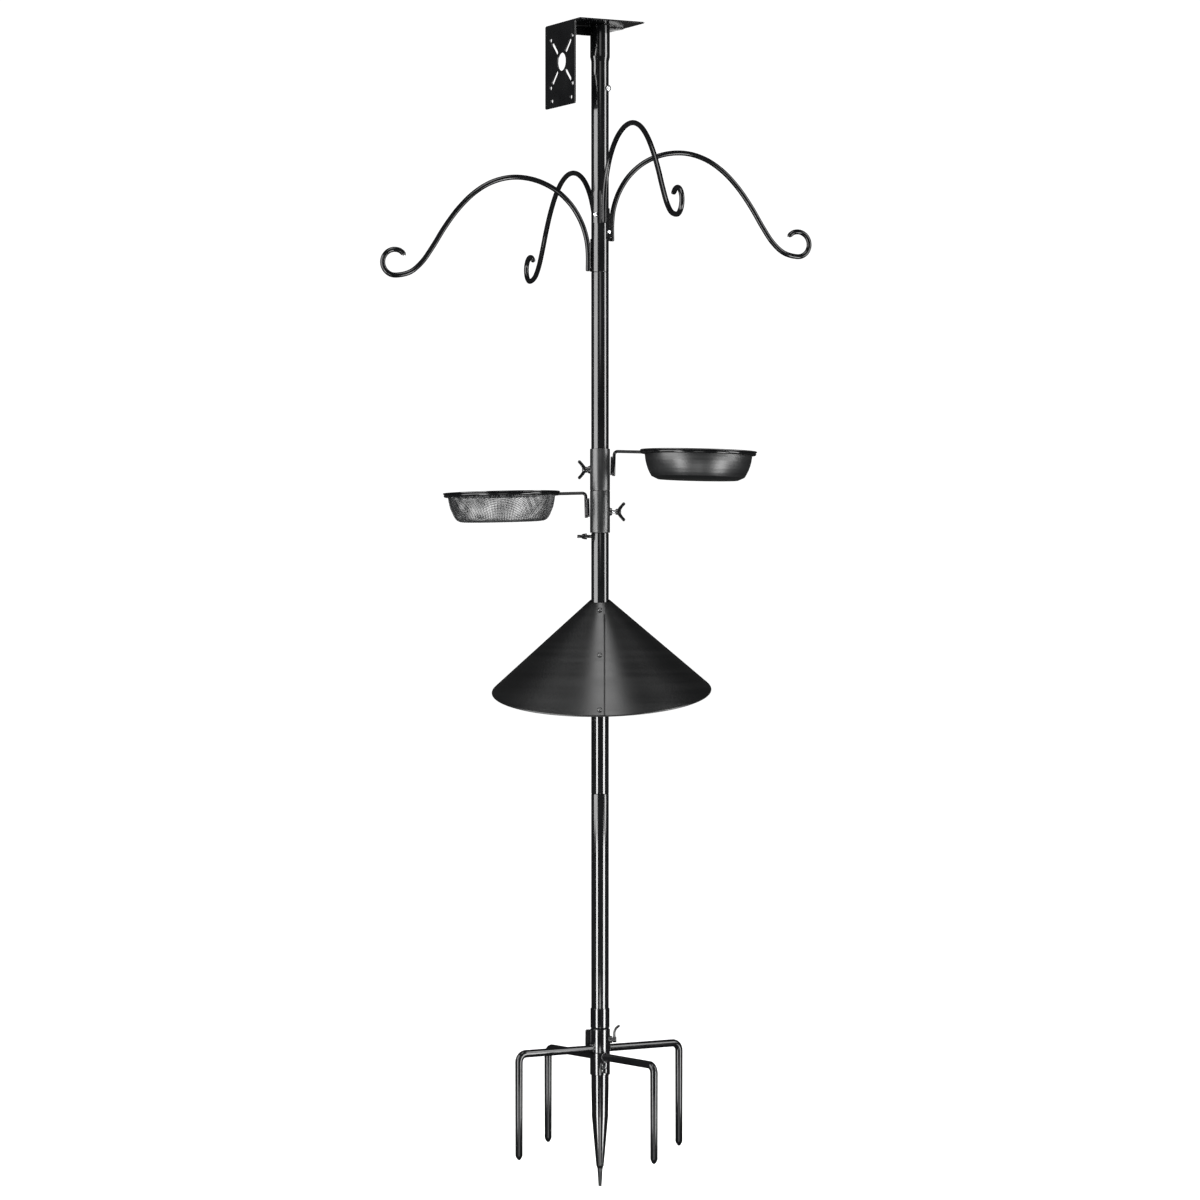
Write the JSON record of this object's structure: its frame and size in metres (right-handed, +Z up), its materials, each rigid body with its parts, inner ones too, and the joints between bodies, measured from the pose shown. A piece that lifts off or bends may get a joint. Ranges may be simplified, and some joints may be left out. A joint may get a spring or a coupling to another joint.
{
  "type": "bird feeder on pole",
  "caption": "Sectional steel garden pole on a pronged ground stake, with shepherd hooks, bowls on swivelling holders, a cone baffle and a top wall bracket.",
  "frame": {"origin": "on the pole's axis at soil level, under the prongs' crossbars", "axes": "+Z up along the pole; +X towards the water bowl; the seed tray is on -X; -Y is the front with the baffle's seam"},
  "size_m": [0.6246, 0.6246, 1.685],
  "materials": {
    "powder_coat": "black powder coat, semi-gloss",
    "sleeve_coat": "charcoal powder coat, satin",
    "satin_coat": "black powder coat, satin",
    "wire_mesh": "black coated wire mesh",
    "zinc": "bright zinc plate"
  },
  "bodies": {
    "stake_and_pole": {"ground_stake": "powder_coat", "prong_collar_lower": "powder_coat", "prong_front_right": "powder_coat", "prong_back_left": "powder_coat", "collar_screw": "zinc", "pole_section_1": "powder_coat", "pole_section_2": "powder_coat", "pole_section_3": "powder_coat", "pole_section_4": "powder_coat", "bracket_screw": "zinc", "hook_arm_left": "powder_coat", "hook_arm_back": "powder_coat", "hook_arm_right": "powder_coat", "hook_arm_front": "powder_coat", "hook_saddle_left": "powder_coat", "hook_saddle_back": "powder_coat", "hook_saddle_right": "powder_coat", "hook_saddle_front": "powder_coat", "saddle_screw_left": "zinc", "saddle_screw_back": "zinc", "saddle_screw_right": "zinc", "saddle_screw_front": "zinc"},
    "prong_swing": {"prong_collar_upper": "powder_coat", "prong_front_left": "powder_coat", "prong_back_right": "powder_coat"},
    "clamp_lever": {"clamp_lever": "powder_coat"},
    "baffle_clamp": {"baffle_collar": "powder_coat", "baffle_collar_screw": "zinc"},
    "baffle_hanger": {"baffle_hanger": "powder_coat"},
    "baffle": {"baffle_cone": "satin_coat", "baffle_screw_top": "powder_coat", "baffle_screw_middle": "powder_coat", "baffle_screw_rim": "powder_coat"},
    "upper_holder": {"tray_sleeve_upper": "sleeve_coat", "tray_holder_upper": "powder_coat"},
    "lower_holder": {"tray_sleeve_lower": "sleeve_coat", "tray_holder_lower": "powder_coat"},
    "water_bowl": {"water_bowl": "satin_coat"},
    "seed_tray": {"seed_tray": "wire_mesh"},
    "upper_wing_screw": {"wing_screw_upper": "powder_coat"},
    "lower_wing_screw": {"wing_screw_lower": "powder_coat"},
    "joint_wing_screw": {"pole_joint_screw": "powder_coat"},
    "top_bracket": {"bracket_plate": "powder_coat", "bracket_stub": "powder_coat", "bracket_gusset": "powder_coat"}
  },
  "joints": [
    {"name": "prong_fold", "type": "hinge", "parent": "stake_and_pole", "child": "prong_swing", "pos_m": [0, 0, 0.026], "axis": [0, 0, 1], "range_deg": [-80, 80]},
    {"name": "clamp_lever_turn", "type": "hinge", "parent": "prong_swing", "child": "clamp_lever", "pos_m": [0.02, 0, 0.0275], "axis": [1, 0, 0], "range_deg": [-80, 80]},
    {"name": "baffle_height", "type": "slide", "parent": "stake_and_pole", "child": "baffle_clamp", "axis": [0, 0, 1], "range_m": [-0.42, 0.05]},
    {"name": "baffle_turn", "type": "hinge", "parent": "baffle_clamp", "child": "baffle_hanger", "pos_m": [0, 0, 0.642], "axis": [0, 0, 1], "continuous": true},
    {"name": "baffle_tilt", "type": "hinge", "parent": "baffle_hanger", "child": "baffle", "pos_m": [0, 0.0174, 0.6642], "axis": [1, 0, 0], "range_deg": [-12, 4]},
    {"name": "upper_tray_swivel", "type": "hinge", "parent": "stake_and_pole", "child": "upper_holder", "pos_m": [0, 0, 0.8536], "axis": [0, 0, 1], "continuous": true},
    {"name": "lower_tray_swivel", "type": "hinge", "parent": "stake_and_pole", "child": "lower_holder", "pos_m": [0, 0, 0.7927], "axis": [0, 0, 1], "continuous": true},
    {"name": "water_bowl_lift", "type": "slide", "parent": "upper_holder", "child": "water_bowl", "axis": [0.0227, 0, 0.9997], "range_m": [0, 0.06]},
    {"name": "seed_tray_lift", "type": "slide", "parent": "lower_holder", "child": "seed_tray", "axis": [-0.0227, 0, 0.9997], "range_m": [0, 0.06]},
    {"name": "upper_wing_screw_turn", "type": "hinge", "parent": "upper_holder", "child": "upper_wing_screw", "pos_m": [-0.02, 0, 0.85365], "axis": [-1, 0, 0], "continuous": true},
    {"name": "lower_wing_screw_turn", "type": "hinge", "parent": "lower_holder", "child": "lower_wing_screw", "pos_m": [0.02, 0, 0.7927], "axis": [1, 0, 0], "continuous": true},
    {"name": "joint_wing_screw_turn", "type": "hinge", "parent": "stake_and_pole", "child": "joint_wing_screw", "pos_m": [-0.02, 0, 0.757], "axis": [-1, 0, 0], "continuous": true},
    {"name": "bracket_swivel", "type": "hinge", "parent": "stake_and_pole", "child": "top_bracket", "pos_m": [0, 0, 1.45], "axis": [0, 0, 1], "continuous": true}
  ]
}
